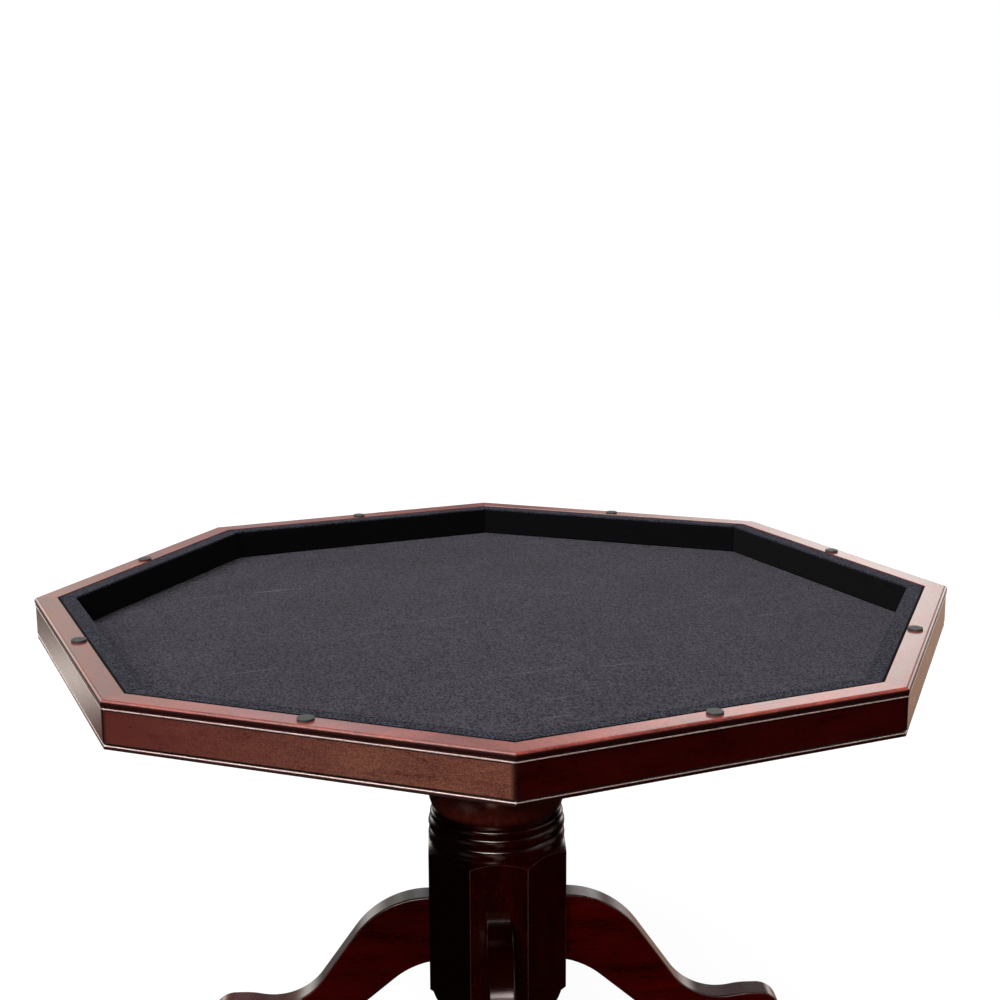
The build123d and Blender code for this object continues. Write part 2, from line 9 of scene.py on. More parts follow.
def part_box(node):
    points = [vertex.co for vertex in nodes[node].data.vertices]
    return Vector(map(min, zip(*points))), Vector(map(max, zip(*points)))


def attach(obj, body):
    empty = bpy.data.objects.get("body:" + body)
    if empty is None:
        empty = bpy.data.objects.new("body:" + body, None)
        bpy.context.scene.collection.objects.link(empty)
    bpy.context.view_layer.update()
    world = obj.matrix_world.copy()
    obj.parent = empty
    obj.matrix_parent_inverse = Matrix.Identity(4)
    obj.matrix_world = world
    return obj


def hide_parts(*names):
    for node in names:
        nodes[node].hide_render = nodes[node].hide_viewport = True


# Looks of the octagonal gaming table: lacquered wood, felt, fasteners, studio and camera.
# Metres. +Z is up and -Y is the front. Sides of the top are numbered from the front right side,
# anticlockwise seen from above.
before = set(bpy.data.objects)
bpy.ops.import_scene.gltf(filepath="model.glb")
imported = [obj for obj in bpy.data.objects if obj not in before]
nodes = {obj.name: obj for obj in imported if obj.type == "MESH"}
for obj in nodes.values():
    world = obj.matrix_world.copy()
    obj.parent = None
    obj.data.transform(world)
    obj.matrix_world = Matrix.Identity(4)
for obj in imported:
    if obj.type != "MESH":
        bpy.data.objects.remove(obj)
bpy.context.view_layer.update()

SIDES = 8
SIDE_TURN = 2 * math.pi / SIDES
FIRST_SIDE = math.radians(-67.5)
LEG_ANGLES = {"front": -90, "right": 0, "back": 90, "left": 180}
MM = 0.001


# ---- places measured on the frame --------------------------------------------------------------
def heading(angle):
    """Level unit vector at an angle from +X."""
    return Vector((math.cos(angle), math.sin(angle), 0))


def side_angle(side):
    """The direction that a side of the top faces."""
    return FIRST_SIDE + SIDE_TURN * (side - 1)


def points_of(node):
    """All of a CAD node's vertices, one row each."""
    flat = np.zeros(len(nodes[node].data.vertices) * 3)
    nodes[node].data.vertices.foreach_get("co", flat)
    return flat.reshape(-1, 3)


def reach(node, direction):
    """The nearest and furthest a CAD node comes along a direction."""
    along = points_of(node) @ np.array(direction)
    return float(along.min()), float(along.max())


def facing(side):
    """Level unit vector out of a side of the top."""
    return heading(side_angle(side))


RIM_OUTER = reach("cap_rail_1", facing(1))[1]
APRON_FACE = reach("apron_1", facing(1))[1]
APRON_OUT = APRON_FACE - 5 * MM         # outward of this, an apron is moulding and face
LINER_INNER, LINER_OUTER = reach("felt_rail_1", facing(1))
CLOTH_FACE = reach("play_cloth", facing(1))[1]
RIM_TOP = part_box("cap_rail_1")[1].z
APRON_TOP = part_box("apron_1")[1].z
APRON_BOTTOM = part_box("apron_1")[0].z
DECK_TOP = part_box("play_cloth")[0].z
FELT_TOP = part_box("play_cloth")[1].z
CORNER_SLOPE = math.tan(SIDE_TURN / 2)      # half a side's length over its distance
COLUMN_FACE = reach("pedestal_column", Vector((0, -1, 0)))[1]
COLUMN_CORNER = COLUMN_FACE / math.cos(SIDE_TURN / 2)
LEG_HALF = reach("leg_front", Vector((1, 0, 0)))[1]
# Heights on the column, and the radii of its turned upper shoulder at the two heights.
SHOULDER_LOW, SHOULDER_HIGH = 310.5 * MM, 321.3 * MM
SHOULDER_WIDE, SHOULDER_NARROW = 112.0 * MM, 100.2 * MM
BELLY_LOW = 373.0 * MM
SHADED_STAVES = math.radians(-157.5)          # the direction of the seam between the two staves with painted shade
STAVE_BLEND = 0.004                         # softness of the change, as a cosine


# ---- shader building ---------------------------------------------------------------------------
COLOUR_A, COLOUR_B, COLOUR_OUT = 6, 7, 2        # a mix node's colour sockets


class Shader:
    """A material, with short calls for the nodes that its pattern needs."""

    def __init__(self, name):
        self.material = bpy.data.materials.new(name)
        self.material.use_nodes = True
        self.tree = self.material.node_tree
        self.surface = self.tree.nodes["Principled BSDF"]
        self.object_coordinates = self.tree.nodes.new("ShaderNodeTexCoord").outputs["Object"]

    def put(self, socket, value):
        """Links a socket to an output, or sets it to a plain value."""
        if isinstance(value, bpy.types.NodeSocket):
            self.tree.links.new(value, socket)
        else:
            socket.default_value = value

    def finish(self, **values):
        """Sets sockets of the surface; an underscore in a name stands for a space."""
        for name, value in values.items():
            self.put(self.surface.inputs[name.replace("_", " ")], value)
        return self.material

    def local(self, turn=0.0, shift=(0, 0, 0)):
        """Object coordinates in a frame turned about Z, so that x points along the turn."""
        node = self.tree.nodes.new("ShaderNodeMapping")
        node.vector_type = "TEXTURE"
        self.put(node.inputs["Vector"], self.object_coordinates)
        node.inputs["Rotation"].default_value = (0, 0, turn)
        node.inputs["Location"].default_value = shift
        return node.outputs["Vector"]

    def stretched(self, vector, scale):
        """Coordinates times a scale for each axis."""
        node = self.tree.nodes.new("ShaderNodeVectorMath")
        node.operation = "MULTIPLY"
        self.put(node.inputs[0], vector)
        node.inputs[1].default_value = scale
        return node.outputs["Vector"]

    def scaled(self, vector, scale):
        """Coordinates times the same scale in every direction."""
        return self.stretched(vector, (scale, scale, scale))

    def noise(self, vector, detail=3.0, roughness=0.5, distortion=0.0):
        node = self.tree.nodes.new("ShaderNodeTexNoise")
        self.put(node.inputs["Vector"], vector)
        node.inputs["Scale"].default_value = 1.0
        node.inputs["Detail"].default_value = detail
        node.inputs["Roughness"].default_value = roughness
        node.inputs["Distortion"].default_value = distortion
        return node.outputs["Fac"]

    def spots(self, vector):
        """Distance to the nearest of scattered points."""
        node = self.tree.nodes.new("ShaderNodeTexVoronoi")
        self.put(node.inputs["Vector"], vector)
        node.inputs["Scale"].default_value = 1.0
        return node.outputs["Distance"]

    def span(self, value, low, high, to_low=0.0, to_high=1.0):
        """Maps low..high to to_low..to_high, and holds the ends."""
        node = self.tree.nodes.new("ShaderNodeMapRange")
        for name, number in zip(("From Min", "From Max", "To Min", "To Max"), (low, high, to_low, to_high)):
            node.inputs[name].default_value = number
        self.put(node.inputs["Value"], value)
        return node.outputs["Result"]

    def math(self, operation, a, b=0.0):
        node = self.tree.nodes.new("ShaderNodeMath")
        node.operation = operation
        self.put(node.inputs[0], a)
        self.put(node.inputs[1], b)
        return node.outputs[0]

    def mix(self, factor, a, b):
        """Colour a where the factor is 0, and colour b where it is 1."""
        node = self.tree.nodes.new("ShaderNodeMix")
        node.data_type = "RGBA"
        self.put(node.inputs["Factor"], factor)
        self.put(node.inputs[COLOUR_A], a)
        self.put(node.inputs[COLOUR_B], b)
        return node.outputs[COLOUR_OUT]

    def axis(self, vector, letter):
        node = self.tree.nodes.new("ShaderNodeSeparateXYZ")
        self.put(node.inputs["Vector"], vector)
        return node.outputs[letter]

    def bump(self, height, distance, strength=1.0, below=None):
        node = self.tree.nodes.new("ShaderNodeBump")
        node.inputs["Distance"].default_value = distance
        node.inputs["Strength"].default_value = strength
        self.put(node.inputs["Height"], height)
        if below is not None:
            self.put(node.inputs["Normal"], below)
        return node.outputs["Normal"]


def rgb(red, green, blue):
    """An opaque colour."""
    return (red, green, blue, 1.0)


# ---- wood --------------------------------------------------------------------------------------
def tones(dark, mid, light):
    """The three colours that a wood's figure is mixed from."""
    return {"dark": rgb(*dark), "mid": rgb(*mid), "light": rgb(*light)}


CHERRY = tones((0.050, 0.0040, 0.0026), (0.110, 0.0120, 0.0070), (0.210, 0.050, 0.016))
RIM_TONE = tones((0.035, 0.0045, 0.0050), (0.110, 0.0150, 0.0140), (0.260, 0.050, 0.032))
COLUMN_TONE = tones((0.008, 0.0001, 0.0001), (0.022, 0.0002, 0.0002), (0.060, 0.0015, 0.0006))
BROWN_BOARD = tones((0.044, 0.0080, 0.0050), (0.105, 0.0260, 0.0180), (0.250, 0.090, 0.050))
STAINED_PLY = tones((0.060, 0.032, 0.018), (0.120, 0.068, 0.038), (0.200, 0.125, 0.075))
BARE_WOOD = tones((0.240, 0.140, 0.070), (0.400, 0.260, 0.145), (0.540, 0.390, 0.240))
MOULDING_SHADE = rgb(0.016, 0.0020, 0.0018)      # painted shade in the grooves, along the aprons' bottoms, at their ends and on the caps' nose sides
BEAD_HIGHLIGHT = rgb(0.52, 0.40, 0.37)       # painted highlight along the aprons' beads
ARRIS_HIGHLIGHT = rgb(0.07, 0.045, 0.040)   # painted highlight along the edges of the column and legs
RUBBED_WOOD = rgb(0.55, 0.38, 0.29)
RED_STAIN = rgb(0.080, 0.0060, 0.0040)
# painted highlight on the column's upper belly
BELLY_HIGHLIGHT = rgb(0.170, 0.026, 0.015)
# painted shade on two of the column's staves
STAVE_SHADE = rgb(0.0015, 0.0002, 0.0002)

# Parts of the figure, in features per metre along the grain and across it.
FIBRES = (7.0, 300.0)
BANDS = (2.0, 26.0)
BLOTCHES = (14.0, 40.0)
FLECKS = (130.0, 520.0)
PORES = (150.0, 1900.0)
# The same in every direction.
SPECKLE = 640
PEEL = 300
PEEL_HEIGHT = 0.012 * MM


def along_grain(grain, along, across):
    """A scale with one value along the grain's axis and another across it."""
    return tuple(along if letter == grain else across for letter in "XYZ")


def wood(
    name, tone, grain, turn=0.0, seed=0.0, mottle=0.5, gloss=0.3, coat=1.0, haze=0.14, shine=0.25,
    speck=0.2, relief=0.03, wear_and_painted_light=(), dull=None,
):
    """Stained wood under lacquer: fibres, bands, blotches, pores and slightly uneven gloss.

    mottle and speck are the strengths of the pale blotches and of the fine speckles. gloss is the
    wood's own roughness. coat, haze and shine are the lacquer's weight, its roughness and the
    wood's reflection below it. relief is the height of the grain in millimetres. Each item of
    wear_and_painted_light is a colour and the mask of a place with wear or stain, or with
    painted shade or a painted highlight, and dull is the mask of a place with less lacquer.
    """
    s = Shader(name)
    place = s.local(turn, (seed * 1.7, seed * 2.3, seed * 0.9))
    fibres = s.noise(s.stretched(place, along_grain(grain, *FIBRES)), 5, 0.6, 0.2)
    bands = s.noise(s.stretched(place, along_grain(grain, *BANDS)), 3, 0.5, 0.6)
    blotches = s.noise(s.stretched(place, along_grain(grain, *BLOTCHES)), 3, 0.55, 0.3)
    flecks = s.noise(s.stretched(place, along_grain(grain, *FLECKS)), 3, 0.8)
    pores = s.noise(s.stretched(place, along_grain(grain, *PORES)), 1, 0.5)
    shade = s.math("ADD", s.math("MULTIPLY", fibres, 0.5), s.math("MULTIPLY", bands, 0.5))
    colour = s.mix(s.span(shade, 0.38, 0.58), tone["dark"], tone["mid"])
    spread = s.math("ADD", s.math("MULTIPLY", blotches, 0.45), s.math("MULTIPLY", flecks, 0.55))
    colour = s.mix(s.span(spread, 0.40, 0.60, 0.0, mottle), colour, tone["light"])
    speckle = s.noise(s.scaled(place, SPECKLE), 2, 0.9)
    colour = s.mix(s.span(speckle, 0.50, 0.60, 0.0, speck), colour, tone["light"])
    colour = s.mix(s.span(speckle, 0.40, 0.50, speck, 0.0), colour, tone["dark"])
    colour = s.mix(s.span(flecks, 0.34, 0.46, 0.1 + speck / 2, 0.0), colour, tone["dark"])
    colour = s.mix(s.span(pores, 0.60, 0.72, 0.0, 0.10 + speck / 4), colour, tone["dark"])
    for mark_colour, mask in wear_and_painted_light:
        colour = s.mix(mask(s), colour, mark_colour)
    height = s.math("SUBTRACT", s.math("MULTIPLY", fibres, 0.5), s.span(pores, 0.58, 0.72))
    peel = s.noise(s.scaled(place, PEEL), 1, 0.4)
    normal = s.bump(peel, PEEL_HEIGHT, 1.0, s.bump(height, relief * MM))
    rough = s.span(blotches, 0.3, 0.7, gloss - 0.05, gloss + 0.07)
    if dull is not None:
        coat = s.math("MULTIPLY", s.math("SUBTRACT", 1.0, dull(s)), coat)
    return s.finish(
        Base_Color=colour, Roughness=rough, Normal=normal, Coat_Weight=coat, Coat_Roughness=haze,
        Specular_IOR_Level=shine,
    )


def lighter(tone, share):
    """A tone made lighter or darker by a share; for a side's board or leg, the share is painted light and
    shade.
    """
    return {name: rgb(*(part * share for part in colour[:3])) for name, colour in tone.items()}


def paint(names, material):
    """Gives CAD nodes a material."""
    for name in names:
        for place in nodes[name].material_slots:
            place.material = material


# ---- masks on the wood: wear, stain, painted shade and painted highlights ----------------------
def ragged(s, place, mask, scale=350):
    """Breaks a mask up, so that a painted highlight is fainter in places."""
    patches = s.noise(s.scaled(place, scale), 3, 0.6)
    return s.math("MULTIPLY", mask, s.span(patches, 0.30, 0.62, 0.45, 1.0))


def band(s, value, low, high, soft):
    """One where a value lies between two limits, with soft ends."""
    rise = s.span(value, low - soft, low)
    fall = s.span(value, high, high + soft, 1.0, 0.0)
    return s.math("MULTIPLY", rise, fall)


def from_middle(s, place):
    """X, Y and the distance from the Z axis."""
    x, y = s.axis(place, "X"), s.axis(place, "Y")
    squares = s.math("ADD", s.math("MULTIPLY", x, x), s.math("MULTIPLY", y, y))
    return x, y, s.math("SQRT", squares)


def line_along(turn, out_low, bottom, top, soft=0.3 * MM, broken_up=True):
    """A line along a moulding: between two heights, and outside a distance from the middle."""
    def mask(s):
        place = s.local(turn)
        outside = s.span(s.axis(place, "X"), out_low - 0.3 * MM, out_low)
        line = s.math("MULTIPLY", outside, band(s, s.axis(place, "Z"), bottom, top, soft))
        return ragged(s, place, line) if broken_up else line
    return mask


def end_shade(turn, half_length):
    """Painted shade in the last few millimetres at both ends of an apron."""
    def mask(s):
        place = s.local(turn)
        end = s.math("ABSOLUTE", s.axis(place, "Y"))
        return s.math("MULTIPLY", s.span(end, half_length - 7 * MM, half_length - 3 * MM), 0.85)
    return mask


def redder_end(turn):
    """A slow change along a board, from redder stain at one end to none past its middle."""
    def mask(s):
        return s.span(s.axis(s.local(turn), "Y"), -0.22, 0.10, 0.8, 0.0)
    return mask


def corner_wear(turn, level, near):
    """Wear at both lower corners of an apron, rubbed through to bare wood."""
    def mask(s):
        place = s.local(turn)
        end = s.math("ABSOLUTE", s.axis(place, "Y"))
        away = s.math("ABSOLUTE", s.math("SUBTRACT", s.axis(place, "Z"), level))
        chips = s.math("MULTIPLY", s.noise(s.scaled(place, 500), 3), 3 * MM)
        close = s.math("ADD", s.math("SUBTRACT", near, end), away)
        return s.span(s.math("SUBTRACT", close, chips), -1.2 * MM, 0.6 * MM, 1.0, 0.0)
    return mask


def turned_arris(s, place, radius):
    """Points of the column that lie on its turned upper shoulder."""
    drop = s.math("SUBTRACT", s.axis(place, "Z"), SHOULDER_LOW)
    slope = (SHOULDER_WIDE - SHOULDER_NARROW) / (SHOULDER_HIGH - SHOULDER_LOW)
    cone = s.math("SUBTRACT", SHOULDER_WIDE, s.math("MULTIPLY", drop, slope))
    return s.span(s.math("SUBTRACT", cone, radius), 0.2 * MM, 0.7 * MM, 1.0, 0.0)


def octagon_arris_highlight(s):
    """Painted highlight on the upright arrises of the column, and on the arched ones where turning meets
    the flats.
    """
    place = s.local()
    x, y, radius = from_middle(s, place)
    angle = s.math("PINGPONG", s.math("ADD", s.math("ARCTAN2", y, x), 4 * SIDE_TURN), SIDE_TURN / 2)
    depth = s.math("MULTIPLY", radius, s.math("COSINE", angle))
    upright = s.span(radius, COLUMN_CORNER - 0.5 * MM, COLUMN_CORNER - 0.2 * MM)
    on_flat = s.span(depth, COLUMN_FACE - 0.7 * MM, COLUMN_FACE - 0.3 * MM)
    arris = s.math("MAXIMUM", upright, turned_arris(s, place, radius))
    return ragged(s, place, s.math("MULTIPLY", arris, on_flat))


def shaded_staves(s):
    """Painted shade on two neighbouring staves of the octagonal column."""
    x, _, radius = from_middle(s, s.local(SHADED_STAVES))
    edge = math.cos(SIDE_TURN)
    return s.span(s.math("DIVIDE", x, radius), edge - STAVE_BLEND, edge + STAVE_BLEND, 0.0, 0.85)


def belly_highlight(s):
    """Painted highlight on the turned belly above the rings, stronger the higher it is."""
    place = s.local()
    higher = s.span(s.axis(place, "Z"), BELLY_LOW + 1 * MM, BELLY_LOW + 12 * MM, 0.0, 0.9)
    return ragged(s, place, higher, 120)


def leg_arris_highlight(turn):
    """Painted highlight along the rounded long edges of a leg."""
    def mask(s):
        place = s.local(turn)
        across = s.math("ABSOLUTE", s.axis(place, "Y"))
        return ragged(s, place, band(s, across, LEG_HALF - 1.9 * MM, LEG_HALF - 0.7 * MM, 0.4 * MM))
    return mask


# ---- the wooden parts --------------------------------------------------------------------------
# Tone shares for each side: painted light and shade, standing in for how the lamps light each side.
CAP_LIGHT_AND_SHADE = (1.05, 0.72, 0.80, 0.9, 0.9, 0.9, 0.66, 0.92)      # one for each side, as painted light and shade
BOARD_LIGHT_AND_SHADE = (1.10, 1.4, 0.9, 1.0, 0.95, 1.05, 0.9, 1.0)
LEG_LIGHT_AND_SHADE = {"front": 0.7, "right": 2.6, "back": 1.8, "left": 1.6}
COLUMN_SHADE = 0.8
FRONT_RIGHT, FRONT_LEFT = 1, 8
BOARD_LIGHT_TONES = {FRONT_RIGHT: COLUMN_TONE, FRONT_LEFT: BROWN_BOARD}     # painted light and shade for the two front boards
NOSE_BOTTOM = RIM_TOP - 9 * MM          # the cap rail's rounded nose
CORNER_WEAR_RISE = 5 * MM


def cap_wood(side):
    """A cap rail, with painted shade on its nose's side. The two front ones have less lacquer there."""
    turn = side_angle(side)
    nose_side = line_along(
        turn, RIM_OUTER - 4.6 * MM, NOSE_BOTTOM, RIM_TOP - 2.8 * MM, 0.8 * MM, broken_up=False,
    )
    nose = line_along(turn, RIM_OUTER - 2.6 * MM, NOSE_BOTTOM, RIM_TOP - 0.4 * MM, broken_up=False)
    return wood(
        f"rim_{side}", lighter(RIM_TONE, CAP_LIGHT_AND_SHADE[side - 1]), "Y", turn, side, mottle=0.85,
        gloss=0.34, haze=0.22, wear_and_painted_light=[(MOULDING_SHADE, nose_side)],
        dull=nose if side in (FRONT_RIGHT, FRONT_LEFT) else None,
    )


def apron_marks(side):
    """An apron's painted shade at its ends, in its grooves and along its bottom, painted highlights on its
    beads, and wear at its lower corners.
    """
    turn = side_angle(side)
    half_length = APRON_FACE * CORNER_SLOPE

    def line(bottom, top, broken_up=False):
        return line_along(turn, APRON_OUT, bottom, top, broken_up=broken_up)

    under_bead = line(APRON_TOP - 3.4 * MM, APRON_TOP - 2.2 * MM)
    low_groove = line(APRON_BOTTOM + 5.4 * MM, APRON_BOTTOM + 8.4 * MM)
    low_side = line(APRON_BOTTOM - 1 * MM, APRON_BOTTOM + 3.4 * MM)
    top_bead_highlight = line(APRON_TOP - 1.5 * MM, APRON_TOP - 0.4 * MM, broken_up=True)
    low_bead_highlight = line(APRON_BOTTOM + 4.1 * MM, APRON_BOTTOM + 4.8 * MM, broken_up=True)
    corners = corner_wear(turn, APRON_BOTTOM + CORNER_WEAR_RISE, half_length - 1.5 * MM)
    marks = [(RED_STAIN, redder_end(turn))] if side == FRONT_LEFT else []
    marks += [(MOULDING_SHADE, mask) for mask in (end_shade(turn, half_length), under_bead, low_groove, low_side)]
    marks += [(BEAD_HIGHLIGHT, top_bead_highlight), (BEAD_HIGHLIGHT, low_bead_highlight), (RUBBED_WOOD, corners)]
    return marks


def apron_wood(side):
    """An apron board, its tone made lighter or darker as painted light and shade for its side."""
    shade = BOARD_LIGHT_AND_SHADE[side - 1]
    return wood(
        f"apron_{side}", lighter(BOARD_LIGHT_TONES.get(side, CHERRY), shade), "Y", side_angle(side),
        side + 10, mottle=0.5 * shade, gloss=0.30, speck=0.55, wear_and_painted_light=apron_marks(side),
    )


def column_wood():
    """The column: nearly black red, with painted highlights on its arrises and upper belly, and painted
    shade on two staves.
    """
    marks = [(ARRIS_HIGHLIGHT, octagon_arris_highlight), (STAVE_SHADE, shaded_staves), (BELLY_HIGHLIGHT, belly_highlight)]
    return wood(
        "column", lighter(COLUMN_TONE, COLUMN_SHADE), "Z", 0.0, 31, mottle=0.6, gloss=0.28,
        haze=0.09, shine=0.04, speck=0.0, relief=0.012, wear_and_painted_light=marks,
    )


def leg_wood(name, seed):
    """A leg, with a painted highlight along its long edges, except on the front one."""
    turn = math.radians(LEG_ANGLES[name])
    return wood(
        f"leg_{name}", lighter(COLUMN_TONE, LEG_LIGHT_AND_SHADE[name]), "X", turn, seed, mottle=0.35,
        gloss=0.30, shine=0.04, speck=0.0,
        wear_and_painted_light=[] if name == "front" else [(ARRIS_HIGHLIGHT, leg_arris_highlight(turn))],
    )


for side in range(1, SIDES + 1):
    paint([f"cap_rail_{side}"], cap_wood(side))
    paint([f"apron_{side}"], apron_wood(side))
paint(["pedestal_column"], column_wood())
for seed, name in enumerate(LEG_ANGLES, 40):
    paint([f"leg_{name}"], leg_wood(name, seed))

# Boards without lacquer: their node, material, tone, grain, mottle and gloss.
BARE_BOARDS = [
    ("deck_board", "deck_ply", STAINED_PLY, "X", 0.4, 0.62),
    ("mounting_plate", "plate_wood", STAINED_PLY, "X", 0.4, 0.60),
    ("cross_beam_side", "side_beam_wood", STAINED_PLY, "X", 0.3, 0.55),
    ("cross_beam_front", "front_beam_wood", STAINED_PLY, "Y", 0.3, 0.55),
    ("column_plug", "plug_wood", BARE_WOOD, "X", 0.3, 0.60),
]
for seed, (node, name, tone, grain, mottle, gloss) in enumerate(BARE_BOARDS, 50):
    paint([node], wood(name, tone, grain, seed=seed, mottle=mottle, gloss=gloss, coat=0.0))


# ---- felt --------------------------------------------------------------------------------------
# painted shade on the liners' upright walls and outer edges
FELT_SHADE = rgb(0.0005, 0.0005, 0.0008)
FELT_DARK = rgb(0.003, 0.0028, 0.0036)
FELT_LIGHT = rgb(0.0455, 0.0405, 0.0560)
LINER_LIGHT = rgb(0.036, 0.036, 0.050)
LINT = rgb(0.20, 0.19, 0.21)
STREAK = rgb(0.16, 0.15, 0.17)
PIT = rgb(0.006, 0.006, 0.008)
STREAK_TURN = 0.35
FELT_GAP = 1.4 * MM         # how far the wrapped liner stands back from the rim
FELT_SKIN = 1.4 * MM        # thickness of the wrapped felt
CORE_GAP = 0.1 * MM         # between the felt and its board
LINER_BEND = 2.0 * MM       # bend radius where the felt turns over the liner board
LEAST_BEND = 0.2 * MM
MITRE_ROUND = 1.5 * MM      # rounding of the felt at a liner board's ends
MITRE_GAP = 0.15 * MM
STATION = 5 * MM            # spacing of the felt's cross-sections along the board
BEND_POINTS, RISE_POINTS, TOP_POINTS = 6, 12, 10    # points of the liner's outline
WALL_SHARE, BACK_SHARE = 0.4, 0.62      # the outline's share before its wall ends and its back starts
WAVE, PUCKER = 0.22 * MM, 0.12 * MM     # heights of the felt's unevenness
CORE_END = 0.003            # share of the liner board that its felt covers at each end


def liner_shade(s, turn, colour):
    """Painted shade: the upright walls and the outer edge are darkened nearly to black."""
    upright = s.span(s.axis(s.object_coordinates, "Z"), RIM_TOP - 4 * MM, RIM_TOP - 1.5 * MM, 0.96, 0.0)
    colour = s.mix(upright, colour, FELT_SHADE)
    outer_edge = LINER_OUTER - FELT_GAP
    back = s.span(s.axis(s.local(turn), "X"), outer_edge - 1.6 * MM, outer_edge - 0.8 * MM, 0.0, 0.9)
    return s.mix(back, colour, FELT_SHADE)


def table_marks(s, place, colour):
    """Lint, a few streaks and pits on the playing surface."""
    lint = s.spots(s.scaled(place, 95))
    rare = s.noise(s.scaled(place, 22), 1)
    lint = s.math("MULTIPLY", s.span(lint, 0.05, 0.10, 1.0, 0.0), s.span(rare, 0.52, 0.60))
    colour = s.mix(s.math("MULTIPLY", lint, 0.55), colour, LINT)
    streaks = s.noise(s.stretched(s.local(STREAK_TURN), (5, 210, 1)), 2, 0.5)
    colour = s.mix(s.span(streaks, 0.70, 0.76, 0.0, 0.35), colour, STREAK)
    pits = s.spots(s.scaled(place, 60))
    return s.mix(s.span(pits, 0.04, 0.09, 0.7, 0.0), colour, PIT)


def felt(name, light, turn=0.0, seed=0.0, on_table=True):
    """Pressed, brushed cloth: crossed fibres, flecks and a soft sheen."""
    s = Shader(name)
    place = s.local(turn, (seed, seed * 0.7, 0))
    warp = s.noise(s.stretched(place, (130, 700, 700)), 2, 0.6)
    weft = s.noise(s.stretched(place, (700, 130, 700)), 2, 0.6)
    weave = s.math("MULTIPLY", s.math("ADD", warp, weft), 0.5)
    nap = s.noise(s.scaled(place, 370), 2, 0.9)
    cloud = s.noise(s.scaled(place, 7), 3, 0.55)
    tone = s.math("ADD", s.math("MULTIPLY", weave, 0.25), s.math("MULTIPLY", nap, 0.75))
    colour = s.mix(s.span(tone, 0.468, 0.556), FELT_DARK, light)
    colour = s.mix(s.span(cloud, 0.35, 0.65, 0.16, 0.0), colour, FELT_DARK)
    colour = table_marks(s, place, colour) if on_table else liner_shade(s, turn, colour)
    height = s.math("ADD", s.math("MULTIPLY", weave, 0.6), s.math("MULTIPLY", nap, 0.8))
    return s.finish(
        Base_Color=colour, Roughness=0.95, Normal=s.bump(height, 0.35 * MM, 0.9),
        Sheen_Weight=0.04 if on_table else 0.01, Sheen_Roughness=0.5, Specular_IOR_Level=0.08,
    )


def placed_mesh(data, material, smooth):
    """A new piece, with its mesh's name, in the frame's own coordinates."""
    data.materials.append(material)
    data.polygons.foreach_set("use_smooth", [smooth] * len(data.polygons))
    piece = bpy.data.objects.new(data.name, data)
    bpy.context.scene.collection.objects.link(piece)
    return piece


def add_piece(name, vertices, faces, material, smooth=True):
    """A new piece from its vertices and faces."""
    data = bpy.data.meshes.new(name)
    data.from_pydata([tuple(v) for v in vertices], [], faces)
    data.update()
    return placed_mesh(data, material, smooth)


def drawn_piece(name, mesh, material, smooth=True):
    """A new piece from an edited mesh, which is freed."""
    data = bpy.data.meshes.new(name)
    mesh.to_mesh(data)
    mesh.free()
    return placed_mesh(data, material, smooth)


def liner_outline(inset):
    """Up the well wall, over the top and down the outer face, as (outward, height) points."""
    low, high = LINER_INNER + inset, LINER_OUTER - FELT_GAP - inset
    top, bend = RIM_TOP - inset, max(LINER_BEND - inset, LEAST_BEND)
    quarter = np.linspace(0, math.pi / 2, BEND_POINTS)
    rise = np.linspace(DECK_TOP, top - bend, RISE_POINTS)[:-1]
    first = np.c_[np.full(len(rise), low), rise]
    turn_in = np.c_[low + bend * (1 - np.cos(quarter)), top - bend * (1 - np.sin(quarter))]
    across = np.linspace(low + bend, high - bend, TOP_POINTS)[1:-1]
    flat = np.c_[across, np.full(len(across), top)]
    turn_out = np.c_[high - bend * (1 - np.sin(quarter)), top - bend * (1 - np.cos(quarter))]
    last = np.c_[np.full(len(rise), high), rise[::-1]]
    return np.r_[first, turn_in, flat, turn_out, last]


def stations(length):
    """Places along a board from 0 to 1, closer together at its rounded ends, and their insets."""
    ends = MITRE_ROUND * np.array([0.0, 0.12, 0.3, 0.6, 1.0])
    middle = np.arange(MITRE_ROUND + STATION, length - MITRE_ROUND - STATION / 2, STATION)
    distance = np.r_[ends, middle, length - ends[::-1]]
    depth = np.minimum(distance, length - distance)
    inside = np.clip(MITRE_ROUND - depth, 0, None)
    inset = MITRE_ROUND - np.sqrt(np.clip(MITRE_ROUND**2 - inside**2, 0, None))
    return distance / length, inset


def slack(out, along, height, side):
    """How far the glued felt stands off its board: slow waves and small puckers."""
    wave = noise.noise(Vector((along * 11, out * 30, side * 7.3))) * WAVE
    pucker = noise.noise(Vector((along * 60, height * 60, side * 3.1))) * PUCKER
    return wave + pucker


def board_points(side, outline, share):
    """Points of a cross-section at a share of the way along a mitred board."""
    out, along = facing(side), heading(side_angle(side) + math.pi / 2)
    found = []
    for x, z in outline:
        half = x * CORNER_SLOPE - MITRE_GAP
        found.append(out * x + along * ((2 * share - 1) * half) + Vector((0, 0, z)))
    return found


